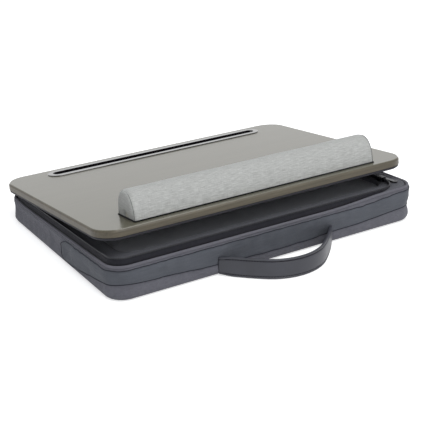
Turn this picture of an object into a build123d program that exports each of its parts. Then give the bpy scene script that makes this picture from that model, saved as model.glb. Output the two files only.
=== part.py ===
from build123d import *
import os
from math import asin, atan, cos, degrees, pi, radians, sin, sqrt, tan

# Lap tray with cushion: a hard writing board on a wedge-shaped fabric cushion. The board is
# the lid of a zipped compartment and is hinged on fabric along its rear edge. It is shown
# ajar. Millimetres, +Z up, front towards -Y, origin at the centre of the cushion's underside.

# Cushion base
BASE_WIDTH = 453.6
BASE_DEPTH = 325.2
BASE_CORNER_R = 25.3
FRONT_HEIGHT = 48.5
REAR_HEIGHT = 36.0
COVER_T = 1.6
FOOT_ROUND = 6.0
FOOT_SHARES = (0.0, 0.1, 0.3, 0.6)
WAIST_DRAW = 1.6
WAIST_SHARES = (0.0, 0.18, 0.34, 0.5, 0.66, 0.82, 1.0)
SHOULDER_HEIGHT = 33.0
SHOULDER_INSET = 0.2
OVERRUN = 5.0
SEAM_GAP = 0.3

# Facing panel round the front of the cushion
PANEL_REACH = 147.0
PANEL_TOP_DROP = 9.0
PANEL_END_LOW = 5.0
PANEL_CORNER_LOW = 21.0
PANEL_MIDDLE_LOW = 13.0
PANEL_TONGUE_LEAN = 9.0

# Rim of the compartment
PIPING_D = 4.4
PIPING_EASE = 0.2
CORD_SIDES = 10
BORDER_T = 1.6
BORDER_WIDTH = 26.0
RECESS_DEPTH = 6.0
RECESS_CORNER_R = 20.0
LINING_T = 1.0
STIFFENER_T = 3.0

# Zip, lower half
ZIP_TAPE_T = 1.0
ZIP_TAPE_HEIGHT = 3.6
ZIP_TEETH_W = 2.2
ZIP_TEETH_HEIGHT = 1.6
ZIP_INSET = 5.8
ZIP_RIGHT_INSET = 26.0
ZIP_RIGHT_BEND_R = 30.0
ZIP_REAR_MARGIN = 22.6

# Zip slider and its pull tab
SLIDER_LENGTH = 11.0
SLIDER_WIDTH = 8.0
SLIDER_PLATE = 1.0
SLIDER_CLEAR = 0.3
SLIDER_LIFT = 0.5
EAR_T = 0.8
EAR_GAP = 2.1
PIN_R = 0.8
PULL_EYE_R = 1.1
PULL_ROOT_R = 2.1
PULL_T = 1.5
PULL_LENGTH = 22.0
PULL_END_W = 6.5
PULL_HOLE_R = 1.2
PULL_ANGLE = 5.0

# Lid board
BOARD_SIDE_STEP = 1.8
BOARD_DEPTH_STEP = 3.8
BOARD_CORNER_R = 28.0
BOARD_T = 9.0
LAMINATE_T = 0.8
EDGE_BEVEL = 2.0
BEVEL_DROP = 2.6
LID_TILT = 5.889
REAR_OVERHANG = 15.0
HINGE_GAP = 0.5

# Phone slot
SLOT_END_MARGIN = 50.8
SLOT_WIDTH = 30.0
SLOT_OPENING = 15.0
SLOT_FROM_REAR = 26.0
SLOT_SHIFT = 4.8
SLOT_FLANGE_T = 1.3
SLOT_WALL = 1.6
SLOT_FLOOR_T = 1.4

# Underside of the lid
UNDERSIDE_T = 1.0
PAD_T = 3.0
PAD_INSET = 33.0
PAD_CORNER_R = 16.0
LID_LINING_T = 1.0
LID_PIPING_D = 3.2
UPPER_ZIP_INSET = 11.0
UPPER_TAPE_HEIGHT = 2.0
UPPER_TEETH_HEIGHT = 1.5
UPPER_ZIP_REAR_MARGIN = 60.0

# Wrist rest
REST_END_MARGIN = 47.3
REST_DEPTH = 44.0
REST_HEIGHT = 35.6
REST_FROM_FRONT = 31.9
REST_COVER_T = 1.2
REST_END_ROUND = 3.0
REST_CAP_INSET = 3.4
REST_STRIP_T = 3.0
REST_STRIP_MARGIN = 1.6

# Rear fabric hinge
HINGE_STRIP_MARGIN = 35.8
HINGE_STRIP_T = 1.0
HINGE_STRIP_DROP = 14.0
HINGE_STRIP_GAP = 0.2

# Carrying handle
HANDLE_SPAN = 170.0
HANDLE_BOW = 58.0
HANDLE_HEIGHT = 26.0
HANDLE_T = 3.2
HANDLE_SKIN = 0.8
HANDLE_HEM = 2.0
HANDLE_CLEAR = 0.3
HANDLE_SHOULDER_SPAN_SHARE = 0.52
HANDLE_SHOULDER_BOW_SHARE = 0.71

# Lines and planes that several pieces share
RIM_SLOPE = degrees(atan((FRONT_HEIGHT - REAR_HEIGHT) / BASE_DEPTH))
MID_HEIGHT = (FRONT_HEIGHT + REAR_HEIGHT) / 2
BOARD_WIDTH = BASE_WIDTH - 2 * BOARD_SIDE_STEP
BOARD_DEPTH = BASE_DEPTH - BOARD_DEPTH_STEP
SLOT_LENGTH = BOARD_WIDTH - 2 * SLOT_END_MARGIN
REST_LENGTH = BOARD_WIDTH - 2 * REST_END_MARGIN
REST_FROM_REAR = BOARD_DEPTH - REST_FROM_FRONT
HINGE_STRIP_LENGTH = BASE_WIDTH - 2 * HINGE_STRIP_MARGIN
BORDER_OUT = PIPING_D + SHOULDER_INSET
BORDER_IN = BORDER_OUT + BORDER_WIDTH
LINING_TOP = -RECESS_DEPTH
STIFFENER_TOP = LINING_TOP - LINING_T
FILLING_TOP = STIFFENER_TOP - STIFFENER_T
LID_STACK = BOARD_T + UNDERSIDE_T + PAD_T + LID_LINING_T
HINGE_Y = BASE_DEPTH / 2
HINGE_Z = REAR_HEIGHT + HINGE_GAP
FRONT_WALL_Y = -BASE_DEPTH / 2
HANDLE_AXIS_Z = HANDLE_HEIGHT / 2
SLIDER_X = BASE_WIDTH / 2 - ZIP_RIGHT_INSET
SLIDER_REST_Y = FRONT_WALL_Y + ZIP_INSET + ZIP_RIGHT_BEND_R + SLIDER_LENGTH / 2 + SLIDER_CLEAR


def wall_inset(height):
    """How far the drawn-in wall lies inside the plan at a height above the foot."""
    share = (height - FOOT_ROUND) / (SHOULDER_HEIGHT - FOOT_ROUND)
    return SHOULDER_INSET + WAIST_DRAW * sin(pi * share) ** 2


HANDLE_SEAT_Y = FRONT_WALL_Y + wall_inset(HANDLE_AXIS_Z) - HANDLE_CLEAR
HANDLE_AXIS_Y = HANDLE_SEAT_Y - HANDLE_HEIGHT / 2


def rim_height(y, lift=0.0):
    """Height above the floor of the compartment's sloping rim."""
    return MID_HEIGHT - y * tan(radians(RIM_SLOPE)) + lift


def rim_plane(lift=0.0, x=0.0, y=0.0):
    """Plane that lies in the sloping rim, or that far above it."""
    return Plane(origin=(x, y, rim_height(y, lift)), x_dir=(1, 0, 0),
                 z_dir=(0, sin(radians(RIM_SLOPE)), cos(radians(RIM_SLOPE))))


def between(shape, low, high):
    """Keep what lies between two planes parallel to the rim."""
    upper = split(shape, bisect_by=rim_plane(low), keep=Keep.TOP)
    return split(upper, bisect_by=rim_plane(high), keep=Keep.BOTTOM)


def base_outline(inset, radius=None):
    """Plan of the cushion, inset all round."""
    if radius is None:
        radius = BASE_CORNER_R - inset
    return RectangleRounded(BASE_WIDTH - 2 * inset, BASE_DEPTH - 2 * inset, radius)


def prism(plan):
    """Upright prism, taller than the cushion."""
    return extrude(plan, FRONT_HEIGHT + 2 * OVERRUN)


def cushion_form(inset):
    """Crowned body of the cushion with rounded foot and drawn-in waist, inset all over."""
    levels = []
    for share in FOOT_SHARES:
        height = inset + (FOOT_ROUND - inset) * share
        levels.append((height, SHOULDER_INSET + FOOT_ROUND * (1 - sqrt(1 - (1 - share) ** 2))))
    for share in WAIST_SHARES:
        height = FOOT_ROUND + (SHOULDER_HEIGHT - FOOT_ROUND) * share
        levels.append((height, wall_inset(height)))
    levels.append((FRONT_HEIGHT + OVERRUN, SHOULDER_INSET))
    return loft([Pos(0, 0, z) * base_outline(inset + draw) for z, draw in levels], ruled=True)


def side_cut(points, length):
    """Prism along X with a side view given as (y, z) points."""
    face = make_face(Polyline(*[(0, y, z) for y, z in points], close=True))
    return extrude(face, length / 2, dir=(1, 0, 0), both=True)


def facing_region():
    """Space round the front and its corners that the facing panel takes up."""
    half = BASE_WIDTH / 2
    end_y = FRONT_WALL_Y + PANEL_REACH
    ahead = FRONT_WALL_Y - OVERRUN
    top_end = rim_height(end_y, -PANEL_TOP_DROP)
    flanks = side_cut([
        (ahead, PANEL_CORNER_LOW),
        (FRONT_WALL_Y, PANEL_CORNER_LOW),
        (end_y, PANEL_END_LOW),
        (end_y - PANEL_TONGUE_LEAN / 3, (PANEL_END_LOW + top_end) / 2),
        (end_y - PANEL_TONGUE_LEAN, top_end),
        (ahead, rim_height(ahead, -PANEL_TOP_DROP)),
    ], BASE_WIDTH + 2 * OVERRUN)
    inner = half - BASE_CORNER_R
    flanks -= Box(2 * inner, 2 * BASE_DEPTH, 4 * FRONT_HEIGHT)
    ceiling = FRONT_HEIGHT + OVERRUN
    swag = make_face(
        ThreePointArc((-inner, 0, PANEL_CORNER_LOW), (0, 0, PANEL_MIDDLE_LOW), (inner, 0, PANEL_CORNER_LOW))
        + Polyline((inner, 0, PANEL_CORNER_LOW), (inner, 0, ceiling), (-inner, 0, ceiling),
                   (-inner, 0, PANEL_CORNER_LOW))
    )
    front = Pos(0, FRONT_WALL_Y - OVERRUN, 0) * extrude(swag, BASE_CORNER_R + OVERRUN, dir=(0, 1, 0))
    front = split(front, bisect_by=rim_plane(-PANEL_TOP_DROP), keep=Keep.BOTTOM)
    return flanks + front


def wall_shell():
    """Fabric wall of the cushion from its foot seam up to the piping."""
    shell = cushion_form(0) - cushion_form(COVER_T)
    shell -= Pos(0, 0, FOOT_ROUND / 4) * Box(2 * BASE_WIDTH, 2 * BASE_DEPTH, FOOT_ROUND / 2)
    return split(shell, bisect_by=rim_plane(-PIPING_D - PIPING_EASE), keep=Keep.BOTTOM)


def bottom_panel():
    """Flat underside with its rounded foot."""
    foot = cushion_form(0) - cushion_form(COVER_T)
    return foot & Pos(0, 0, FOOT_ROUND / 4) * Box(2 * BASE_WIDTH, 2 * BASE_DEPTH, FOOT_ROUND / 2)


def front_panel():
    """Smooth facing that wraps the front and both front corners."""
    return wall_shell() & facing_region()


def side_wall():
    """The rest of the wall: both sides, the rear and the band under the facing."""
    return wall_shell() - facing_region()


def rim_ring(inset, outer_r, width, inner_r, low, high):
    """Flat ring that lies parallel to the rim."""
    plan = base_outline(inset, outer_r) - base_outline(inset + width, inner_r)
    return between(prism(plan), low, high)


def rim_path(inset, lift):
    """Closed line round the rim, inset from the wall."""
    flat = RectangleRounded(BASE_WIDTH - 2 * inset, (BASE_DEPTH - 2 * inset) / cos(radians(RIM_SLOPE)),
                            BASE_CORNER_R - inset)
    return rim_plane(lift).location * flat.wire()


def tube(path, diameter):
    """Round cord along a line."""
    section = Plane(origin=path @ 0, z_dir=path % 0) * RegularPolygon(diameter / 2, CORD_SIDES)
    return sweep(section, path)


def rim_piping():
    """Cord sewn into the top seam of the wall."""
    return tube(rim_path(SHOULDER_INSET + PIPING_D / 2, -PIPING_D / 2), PIPING_D)


def top_border():
    """Fabric border inside the piping, with a skirt down to the lining."""
    flat = rim_ring(BORDER_OUT, BASE_CORNER_R - BORDER_OUT, BORDER_WIDTH, RECESS_CORNER_R, -BORDER_T, 0)
    skirt = rim_ring(BORDER_IN - BORDER_T, RECESS_CORNER_R + BORDER_T, BORDER_T, RECESS_CORNER_R,
                     STIFFENER_TOP, -BORDER_T)
    return flat + skirt


def lining_floor():
    """Floor of the compartment."""
    return between(prism(base_outline(BORDER_IN, RECESS_CORNER_R)), STIFFENER_TOP, LINING_TOP)


def stiffener():
    """Board under the lining that keeps the compartment flat."""
    plan = base_outline(BORDER_IN - BORDER_T, RECESS_CORNER_R + BORDER_T)
    return between(prism(plan), FILLING_TOP, STIFFENER_TOP)


def cushion_filling():
    """Bead filling: all of the room that the cover leaves."""
    body = split(cushion_form(COVER_T), bisect_by=rim_plane(-BORDER_T), keep=Keep.BOTTOM)
    seam = prism(base_outline(-OVERRUN) - base_outline(BORDER_OUT + PIPING_EASE))
    recess = prism(base_outline(BORDER_IN - BORDER_T, RECESS_CORNER_R + BORDER_T))
    body -= between(seam, -PIPING_D - PIPING_EASE, OVERRUN)
    return body - between(recess, FILLING_TOP, OVERRUN)


def zip_line(offset):
    """Edge of the lower zip's plan: down the left side, along the front and up the right side."""
    left = ZIP_INSET - BASE_WIDTH / 2 - offset
    right = SLIDER_X + offset
    front = FRONT_WALL_Y + ZIP_INSET - offset
    rear = BASE_DEPTH / 2 - ZIP_REAR_MARGIN
    left_r = BASE_CORNER_R - ZIP_INSET + offset
    right_r = ZIP_RIGHT_BEND_R + offset
    points = [(left, rear), (left, front), (right, front), (right, rear)]
    return FilletPolyline(*points, radius=[left_r, right_r])


def zip_strip(width, low, high):
    """Upright band of the lower zip."""
    outer = zip_line(width / 2)
    inner = zip_line(-width / 2)
    plan = make_face(outer + Line(outer @ 1, inner @ 1) + inner + Line(inner @ 0, outer @ 0))
    return between(prism(plan), low, high)


def hinge_strip():
    """Fabric that joins the rear wall to the lid."""
    reach = sqrt((PAD_T + LID_LINING_T + HINGE_GAP - SEAM_GAP) ** 2
                 - (HINGE_STRIP_GAP + HINGE_STRIP_T) ** 2)
    height = HINGE_STRIP_DROP + reach
    strip = Box(HINGE_STRIP_LENGTH, HINGE_STRIP_T, height, align=(Align.CENTER, Align.MIN, Align.MIN))
    return Pos(0, HINGE_Y + HINGE_STRIP_GAP, HINGE_Z - HINGE_STRIP_DROP) * strip


def on_rim(shape, x, y):
    """Place a shape drawn about the rim's own axes."""
    return rim_plane(0, x, y).location * shape


def block(width, depth, low, high):
    """Box centred in plan between two heights."""
    return Pos(0, 0, (low + high) / 2) * Box(width, depth, high - low)


def slider_body():
    """Zip slider that straddles the teeth, with two ears and a pin for its pull tab."""
    teeth_top = ZIP_TAPE_HEIGHT + ZIP_TEETH_HEIGHT
    top = teeth_top + SLIDER_CLEAR + SLIDER_PLATE
    body = block(SLIDER_WIDTH, SLIDER_LENGTH, SLIDER_LIFT, top)
    body = fillet(body.edges().filter_by(Axis.Z), SLIDER_WIDTH / 4)
    body = chamfer(body.faces().sort_by(Axis.Z)[-1].edges(), SLIDER_PLATE / 2)
    long = SLIDER_LENGTH + 2 * OVERRUN
    body -= block(ZIP_TEETH_W + 2 * SLIDER_CLEAR, long, ZIP_TAPE_HEIGHT - SLIDER_CLEAR, teeth_top + SLIDER_CLEAR)
    body -= block(ZIP_TAPE_T + 2 * SLIDER_CLEAR, long, -OVERRUN, ZIP_TAPE_HEIGHT)
    pin_x = SLIDER_WIDTH / 2 + PULL_ROOT_R + SLIDER_CLEAR
    ear_plan = Pos(pin_x / 2 + SLIDER_WIDTH / 4, 0) * Rectangle(pin_x - SLIDER_WIDTH / 2, 2 * PIN_R + EAR_T)
    ear_plan += Pos(pin_x, 0) * Circle(PIN_R + EAR_T / 2)
    upper = SLIDER_LIFT + EAR_T + EAR_GAP
    for low in (SLIDER_LIFT, upper):
        body += Pos(0, 0, low) * extrude(ear_plan, EAR_T)
    body += Pos(pin_x, 0, SLIDER_LIFT) * extrude(Circle(PIN_R), upper - SLIDER_LIFT)
    return on_rim(body, SLIDER_X, SLIDER_REST_Y)


def pull_tab():
    """Flat tab that turns on the slider's pin and lies along the border."""
    end = PULL_LENGTH - PULL_END_W / 2
    plan = make_hull((Circle(PULL_ROOT_R) + Pos(0, -end) * Circle(PULL_END_W / 2)).edges())
    plan -= Circle(PULL_EYE_R)
    plan -= Pos(0, -end) * Circle(PULL_HOLE_R)
    low = SLIDER_LIFT + EAR_T + (EAR_GAP - PULL_T) / 2
    tab = Pos(0, 0, low) * extrude(plan, PULL_T)
    pin_x = SLIDER_WIDTH / 2 + PULL_ROOT_R + SLIDER_CLEAR
    tab = Pos(pin_x, 0, 0) * Rot(0, 0, PULL_ANGLE) * tab
    return on_rim(tab, SLIDER_X, SLIDER_REST_Y)


def lid_plane():
    """Plane of the board's top face: origin on its rear edge, rear towards +Y."""
    tilt = radians(LID_TILT)
    up = LID_STACK + HINGE_GAP
    y = HINGE_Y + REAR_OVERHANG * cos(tilt) + up * sin(tilt)
    z = HINGE_Z - REAR_OVERHANG * sin(tilt) + up * cos(tilt)
    return Plane(origin=(0, y, z), x_dir=(1, 0, 0), z_dir=(0, sin(tilt), cos(tilt)))


def on_lid(shape):
    """Place a shape drawn about the board's own axes."""
    return lid_plane().location * shape


def board_outline(inset, radius=None):
    """Plan of the board's top face, inset all round."""
    if radius is None:
        radius = BOARD_CORNER_R - inset
    return Pos(0, -BOARD_DEPTH / 2) * RectangleRounded(BOARD_WIDTH - 2 * inset, BOARD_DEPTH - 2 * inset, radius)


def slot_outline(margin):
    """Plan of the phone slot, larger than its opening by a margin all round."""
    length = SLOT_LENGTH - SLOT_WIDTH + SLOT_OPENING + 2 * margin
    return Pos(SLOT_SHIFT, -SLOT_FROM_REAR) * SlotOverall(length, SLOT_OPENING + 2 * margin)


def whole_board():
    """Board and laminate as one blank, with bevelled edge and slot hole."""
    lower = Pos(0, 0, -BOARD_T) * extrude(board_outline(-EDGE_BEVEL), BOARD_T - BEVEL_DROP)
    upper = loft([Pos(0, 0, -BEVEL_DROP) * board_outline(-EDGE_BEVEL), board_outline(0)])
    hole = extrude(slot_outline(SLOT_WALL + SEAM_GAP), BOARD_T + OVERRUN, both=True)
    return lower + upper - hole


def tray_board():
    """Fibreboard core of the writing surface."""
    return on_lid(split(whole_board(), bisect_by=Plane.XY.offset(-LAMINATE_T), keep=Keep.BOTTOM))


def top_laminate():
    """Thin decorative sheet on the board."""
    return on_lid(split(whole_board(), bisect_by=Plane.XY.offset(-LAMINATE_T), keep=Keep.TOP))


def phone_slot():
    """Trough with a raised flange that a phone or tablet stands in."""
    flange = extrude(slot_outline((SLOT_WIDTH - SLOT_OPENING) / 2), SLOT_FLANGE_T)
    flange = chamfer(flange.faces().sort_by(Axis.Z)[-1].edges(), SLOT_FLANGE_T / 3)
    trough = Pos(0, 0, -BOARD_T) * extrude(slot_outline(SLOT_WALL), BOARD_T)
    hollow = Pos(0, 0, SLOT_FLOOR_T - BOARD_T) * extrude(slot_outline(0), BOARD_T + OVERRUN)
    return on_lid(flange + trough - hollow)


def underside_cover():
    """Fabric backing stretched over the board's underside."""
    plan = board_outline(LID_PIPING_D - EDGE_BEVEL / 2 + SEAM_GAP)
    return on_lid(Pos(0, 0, -BOARD_T - UNDERSIDE_T) * extrude(plan, UNDERSIDE_T))


def lid_piping():
    """Cord sewn round the edge of the backing."""
    inset = LID_PIPING_D / 2 - EDGE_BEVEL / 2
    path = Pos(0, 0, -BOARD_T - LID_PIPING_D / 2) * board_outline(inset).wire()
    return on_lid(tube(path, LID_PIPING_D))


def lid_pad():
    """Thin foam pad under the board."""
    plan = board_outline(PAD_INSET, PAD_CORNER_R)
    return on_lid(Pos(0, 0, -BOARD_T - UNDERSIDE_T - PAD_T) * extrude(plan, PAD_T))


def lid_lining():
    """Lining under the foam pad: the ceiling of the compartment."""
    plan = board_outline(PAD_INSET, PAD_CORNER_R)
    return on_lid(Pos(0, 0, -LID_STACK) * extrude(plan, LID_LINING_T))


def upper_zip_line(offset):
    """Edge of the upper zip's plan, round three sides of the lid."""
    half = BOARD_WIDTH / 2 - UPPER_ZIP_INSET + offset
    front = -BOARD_DEPTH + UPPER_ZIP_INSET - offset
    points = [(-half, -UPPER_ZIP_REAR_MARGIN), (-half, front), (half, front), (half, -UPPER_ZIP_REAR_MARGIN)]
    return FilletPolyline(*points, radius=BOARD_CORNER_R - UPPER_ZIP_INSET + offset)


def upper_zip_strip(width, top, height):
    """Band of the upper zip that hangs from the backing."""
    outer = upper_zip_line(width / 2)
    inner = upper_zip_line(-width / 2)
    plan = make_face(outer + Line(outer @ 1, inner @ 1) + inner + Line(inner @ 0, outer @ 0))
    return on_lid(Pos(0, 0, top - height) * extrude(plan, height))


def arch(margin, low=0.0):
    """Section of the wrist rest, smaller by a margin, standing on the board."""
    half = REST_DEPTH / 2 - margin
    height = REST_HEIGHT - margin
    box = Pos(0, (height + low) / 2 + OVERRUN / 2) * Rectangle(2 * half + OVERRUN, height - low + OVERRUN)
    return Plane.YZ * (Ellipse(half, height) & box)


def rest_run(margin, start, end, low=0.0):
    """Length of the wrist rest between two stations along X."""
    return Pos(start, -REST_FROM_REAR, 0) * extrude(arch(margin, low), end - start, dir=(1, 0, 0))


def wrist_rest_cover():
    """Woven sleeve with softly rounded ends."""
    half = REST_LENGTH / 2
    stations = [
        (half, REST_END_ROUND * 0.8),
        (half - REST_END_ROUND / 3, REST_END_ROUND / 3),
        (half - REST_END_ROUND, 0.0),
    ]
    stations += [(-x, margin) for x, margin in reversed(stations)]
    outer = loft([Pos(x, -REST_FROM_REAR, 0) * arch(margin) for x, margin in stations], ruled=True)
    flat = half - REST_END_ROUND
    outer -= rest_run(REST_COVER_T, -flat, flat)
    for start, end in ((-half - OVERRUN, -flat), (flat, half + OVERRUN)):
        outer -= rest_run(REST_CAP_INSET, start, end)
    return on_lid(outer)


def wrist_rest_strip():
    """Hard strip that the wrist rest is built on."""
    width = REST_DEPTH - 2 * REST_CAP_INSET - 2 * REST_STRIP_MARGIN
    strip = Box(REST_LENGTH - 2 * REST_END_ROUND, width, REST_STRIP_T,
                align=(Align.CENTER, Align.CENTER, Align.MIN))
    return on_lid(Pos(0, -REST_FROM_REAR, 0) * strip)


def wrist_rest_foam():
    """Foam core of the wrist rest, on its strip."""
    half = REST_LENGTH / 2
    flat = half - REST_END_ROUND
    cap = half - REST_COVER_T
    core = rest_run(REST_COVER_T, -flat, flat)
    core += rest_run(REST_CAP_INSET, -cap, -flat)
    core += rest_run(REST_CAP_INSET, flat, cap)
    width = REST_DEPTH - 2 * REST_CAP_INSET - 2 * REST_STRIP_MARGIN
    core -= Pos(0, -REST_FROM_REAR, 0) * Box(2 * flat, width, REST_STRIP_T,
                                             align=(Align.CENTER, Align.CENTER, Align.MIN))
    return on_lid(core)


def wrist_rest_end(side):
    """Flat fabric end of the wrist rest."""
    half = REST_LENGTH / 2
    start, end = sorted((side * half, side * (half - REST_COVER_T)))
    return on_lid(rest_run(REST_CAP_INSET, start, end))


def handle_path():
    """Line of the handle strap as it bows out from the front wall."""
    reach = HANDLE_BOW - HANDLE_T / 2
    half = HANDLE_SPAN / 2
    shoulder_x = half * HANDLE_SHOULDER_SPAN_SHARE
    shoulder_y = FRONT_WALL_Y - reach * HANDLE_SHOULDER_BOW_SHARE
    crest = ThreePointArc((-shoulder_x, shoulder_y), (0, FRONT_WALL_Y - reach), (shoulder_x, shoulder_y))
    right = TangentArc((shoulder_x, shoulder_y), (half, HANDLE_SEAT_Y), tangent=crest % 1)
    left = mirror(right, about=Plane.YZ)
    return Wire([*left.edges(), *crest.edges(), *right.edges()])


def handle_band(height, thickness):
    """Upright band along the handle's line, its ends rounded about the row of stitches."""
    path = handle_path()
    plane = Plane(origin=path @ 0, x_dir=(0, 0, 1), z_dir=path % 0)
    band = Pos(0, 0, HANDLE_AXIS_Z) * sweep(plane * Rectangle(height, thickness), path)
    ahead = HANDLE_BOW + OVERRUN
    room = Plane.YZ * (Circle(height / 2) + Pos(-ahead / 2, 0) * Rectangle(ahead, 2 * height))
    room = Pos(0, HANDLE_AXIS_Y, HANDLE_AXIS_Z) * extrude(room, HANDLE_SPAN, both=True)
    return band & room


def handle_core():
    """Webbing inside the handle."""
    return handle_band(HANDLE_HEIGHT - 2 * HANDLE_HEM, HANDLE_T - 2 * HANDLE_SKIN)


def handle_cover():
    """Smooth sleeve sewn over the webbing."""
    return handle_band(HANDLE_HEIGHT, HANDLE_T) - handle_core()


TEETH_TOP = ZIP_TAPE_HEIGHT + ZIP_TEETH_HEIGHT
UPPER_TAPE_TOP = -BOARD_T - UNDERSIDE_T
NODES = {
    "bottom_panel": bottom_panel(),
    "side_wall": side_wall(),
    "front_panel": front_panel(),
    "rim_piping": rim_piping(),
    "top_border": top_border(),
    "lining_floor": lining_floor(),
    "floor_stiffener": stiffener(),
    "cushion_filling": cushion_filling(),
    "lower_zip_tape": zip_strip(ZIP_TAPE_T, 0, ZIP_TAPE_HEIGHT),
    "lower_zip_teeth": zip_strip(ZIP_TEETH_W, ZIP_TAPE_HEIGHT, TEETH_TOP),
    "hinge_strip": hinge_strip(),
    "slider_body": slider_body(),
    "pull_tab": pull_tab(),
    "tray_board": tray_board(),
    "top_laminate": top_laminate(),
    "phone_slot": phone_slot(),
    "underside_cover": underside_cover(),
    "lid_piping": lid_piping(),
    "lid_pad": lid_pad(),
    "lid_lining": lid_lining(),
    "upper_zip_tape": upper_zip_strip(ZIP_TAPE_T, UPPER_TAPE_TOP, UPPER_TAPE_HEIGHT),
    "upper_zip_teeth": upper_zip_strip(ZIP_TEETH_W, UPPER_TAPE_TOP - UPPER_TAPE_HEIGHT, UPPER_TEETH_HEIGHT),
    "wrist_rest_strip": wrist_rest_strip(),
    "wrist_rest_foam": wrist_rest_foam(),
    "wrist_rest_cover": wrist_rest_cover(),
    "wrist_rest_left_end": wrist_rest_end(-1),
    "wrist_rest_right_end": wrist_rest_end(1),
    "handle_core": handle_core(),
    "handle_cover": handle_cover(),
}

os.makedirs("parts", exist_ok=True)
for name, shape in NODES.items():
    export_step(shape, f"parts/{name}.step")
print("lid hinge at y", round(HINGE_Y, 2), "z", round(HINGE_Z, 2))
print("handle axis at y", round(HANDLE_AXIS_Y, 2), "z", round(HANDLE_AXIS_Z, 2))
print("slider at x", round(SLIDER_X, 2), "z", round(rim_height(SLIDER_REST_Y), 2), "slope", round(RIM_SLOPE, 3))
print("lid plane origin", lid_plane().origin)
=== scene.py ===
import bpy
import bmesh
from math import atan2, cos, exp, hypot, pi, radians, sin, sqrt, tanh
from mathutils import Matrix, Vector, noise
from mathutils.bvhtree import BVHTree


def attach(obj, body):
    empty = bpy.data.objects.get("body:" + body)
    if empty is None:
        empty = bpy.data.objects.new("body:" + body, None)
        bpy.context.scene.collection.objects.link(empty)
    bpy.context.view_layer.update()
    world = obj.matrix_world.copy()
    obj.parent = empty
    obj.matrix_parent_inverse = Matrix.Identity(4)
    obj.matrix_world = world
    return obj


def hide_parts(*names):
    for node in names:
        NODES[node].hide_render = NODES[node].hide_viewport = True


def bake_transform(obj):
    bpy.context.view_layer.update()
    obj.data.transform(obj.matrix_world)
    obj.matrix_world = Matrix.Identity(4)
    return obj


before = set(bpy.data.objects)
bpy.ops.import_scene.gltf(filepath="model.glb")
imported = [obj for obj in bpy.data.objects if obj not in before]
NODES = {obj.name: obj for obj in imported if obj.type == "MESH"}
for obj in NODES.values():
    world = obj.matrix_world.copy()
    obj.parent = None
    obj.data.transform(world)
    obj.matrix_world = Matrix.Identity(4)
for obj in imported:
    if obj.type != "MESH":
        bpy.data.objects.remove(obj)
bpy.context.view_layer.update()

# Sizes of the cushion, in metres, as in the part's source
HALF_W = 0.2268
HALF_D = 0.1626
CORNER = 0.0253
FRONT_H = 0.0485
REAR_H = 0.0360
FOOT = 0.0060
SHOULDER = 0.0330
SEAM_INSET = 0.0002
WAIST_DRAW = 0.0016
SLOPE = (FRONT_H - REAR_H) / (2 * HALF_D)
PIPING_R = 0.0022
PIPING_IN = 0.0024
BORDER_IN = 0.0306
BORDER_CORNER = 0.0200
RECESS = 0.0060
ZIP_INSET = 0.0058
ZIP_RIGHT_INSET = 0.0260
ZIP_RIGHT_BEND = 0.0300
ZIP_REAR_MARGIN = 0.0226
ZIP_TOP = 0.0042
TAPE_HALF_T = 0.0004
PIN_X = 0.2072
PIN_Y = -0.1210
PULL_REACH = 0.0220

# Sizes of the lid
LID_TILT = radians(5.889)
LID_ORIGIN = Vector((0, 0.179009, 0.0493845))
LID = Matrix.Translation(LID_ORIGIN) @ Matrix.Rotation(-LID_TILT, 4, "X")
BOARD_W = 0.450
BOARD_D = 0.3214
BOARD_R = 0.028
BOARD_T = 0.009
UPPER_ZIP_INSET = 0.0110
UPPER_ZIP_REAR = 0.0600
PAD_INSET = 0.0330
PAD_CORNER = 0.0160
BACKING_INSET = 0.0026
BACKING_CORNER = 0.0252
BACKING_LOW = 0.0100
PAD_LOW = 0.0138
LID_CORD_R = 0.0019


def smoothstep(low, high, value):
    """0 below low, 1 above high and a smooth rise between."""
    share = min(1.0, max(0.0, (value - low) / (high - low)))
    return share * share * (3 - 2 * share)


def rim_height(y):
    """Height of the rim's sloping plane."""
    return (FRONT_H + REAR_H) / 2 - y * SLOPE


def raised(x, y):
    """How far the padded rim stands above its plane near the right front corner."""
    return 0.0015 * smoothstep(0.13, 0.21, x) * smoothstep(0.02, 0.10, -y)


def sag(x, y):
    """How far the rim's outer edge hangs below its plane, away from the padded right front corner."""
    return 0.0036 * (1 - smoothstep(0.08, 0.17, x)) * smoothstep(-0.162, -0.10, -y)


def srgb(red, green, blue):
    """Colour as read off a screen, 0 to 255, to linear light."""
    out = []
    for value in (red, green, blue):
        value /= 255
        out.append(value / 12.92 if value <= 0.04045 else ((value + 0.055) / 1.055) ** 2.4)
    return (*out, 1.0)


# Materials

MAT = {}


def new_material(name, colour, roughness, specular=0.5):
    """Principled material with its steady values on the shader's own sockets."""
    mat = bpy.data.materials.new(name)
    mat.use_nodes = True
    shader = mat.node_tree.nodes["Principled BSDF"]
    shader.inputs["Base Color"].default_value = colour
    shader.inputs["Roughness"].default_value = roughness
    shader.inputs["Specular IOR Level"].default_value = specular
    MAT[name] = mat
    return mat.node_tree, shader


def coordinates(tree, source, scale):
    """Object or UV coordinates, scaled."""
    coord = tree.nodes.new("ShaderNodeTexCoord")
    mapping = tree.nodes.new("ShaderNodeMapping")
    mapping.inputs["Scale"].default_value = scale
    tree.links.new(coord.outputs[source], mapping.inputs["Vector"])
    return mapping.outputs["Vector"]


def noise_value(tree, vector, scale, detail=2.0, roughness=0.5):
    """Noise between 0 and 1 at a point."""
    made = tree.nodes.new("ShaderNodeTexNoise")
    for name, value in (("Scale", scale), ("Detail", detail), ("Roughness", roughness)):
        made.inputs[name].default_value = value
    tree.links.new(vector, made.inputs["Vector"])
    return made.outputs["Fac"]


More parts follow.
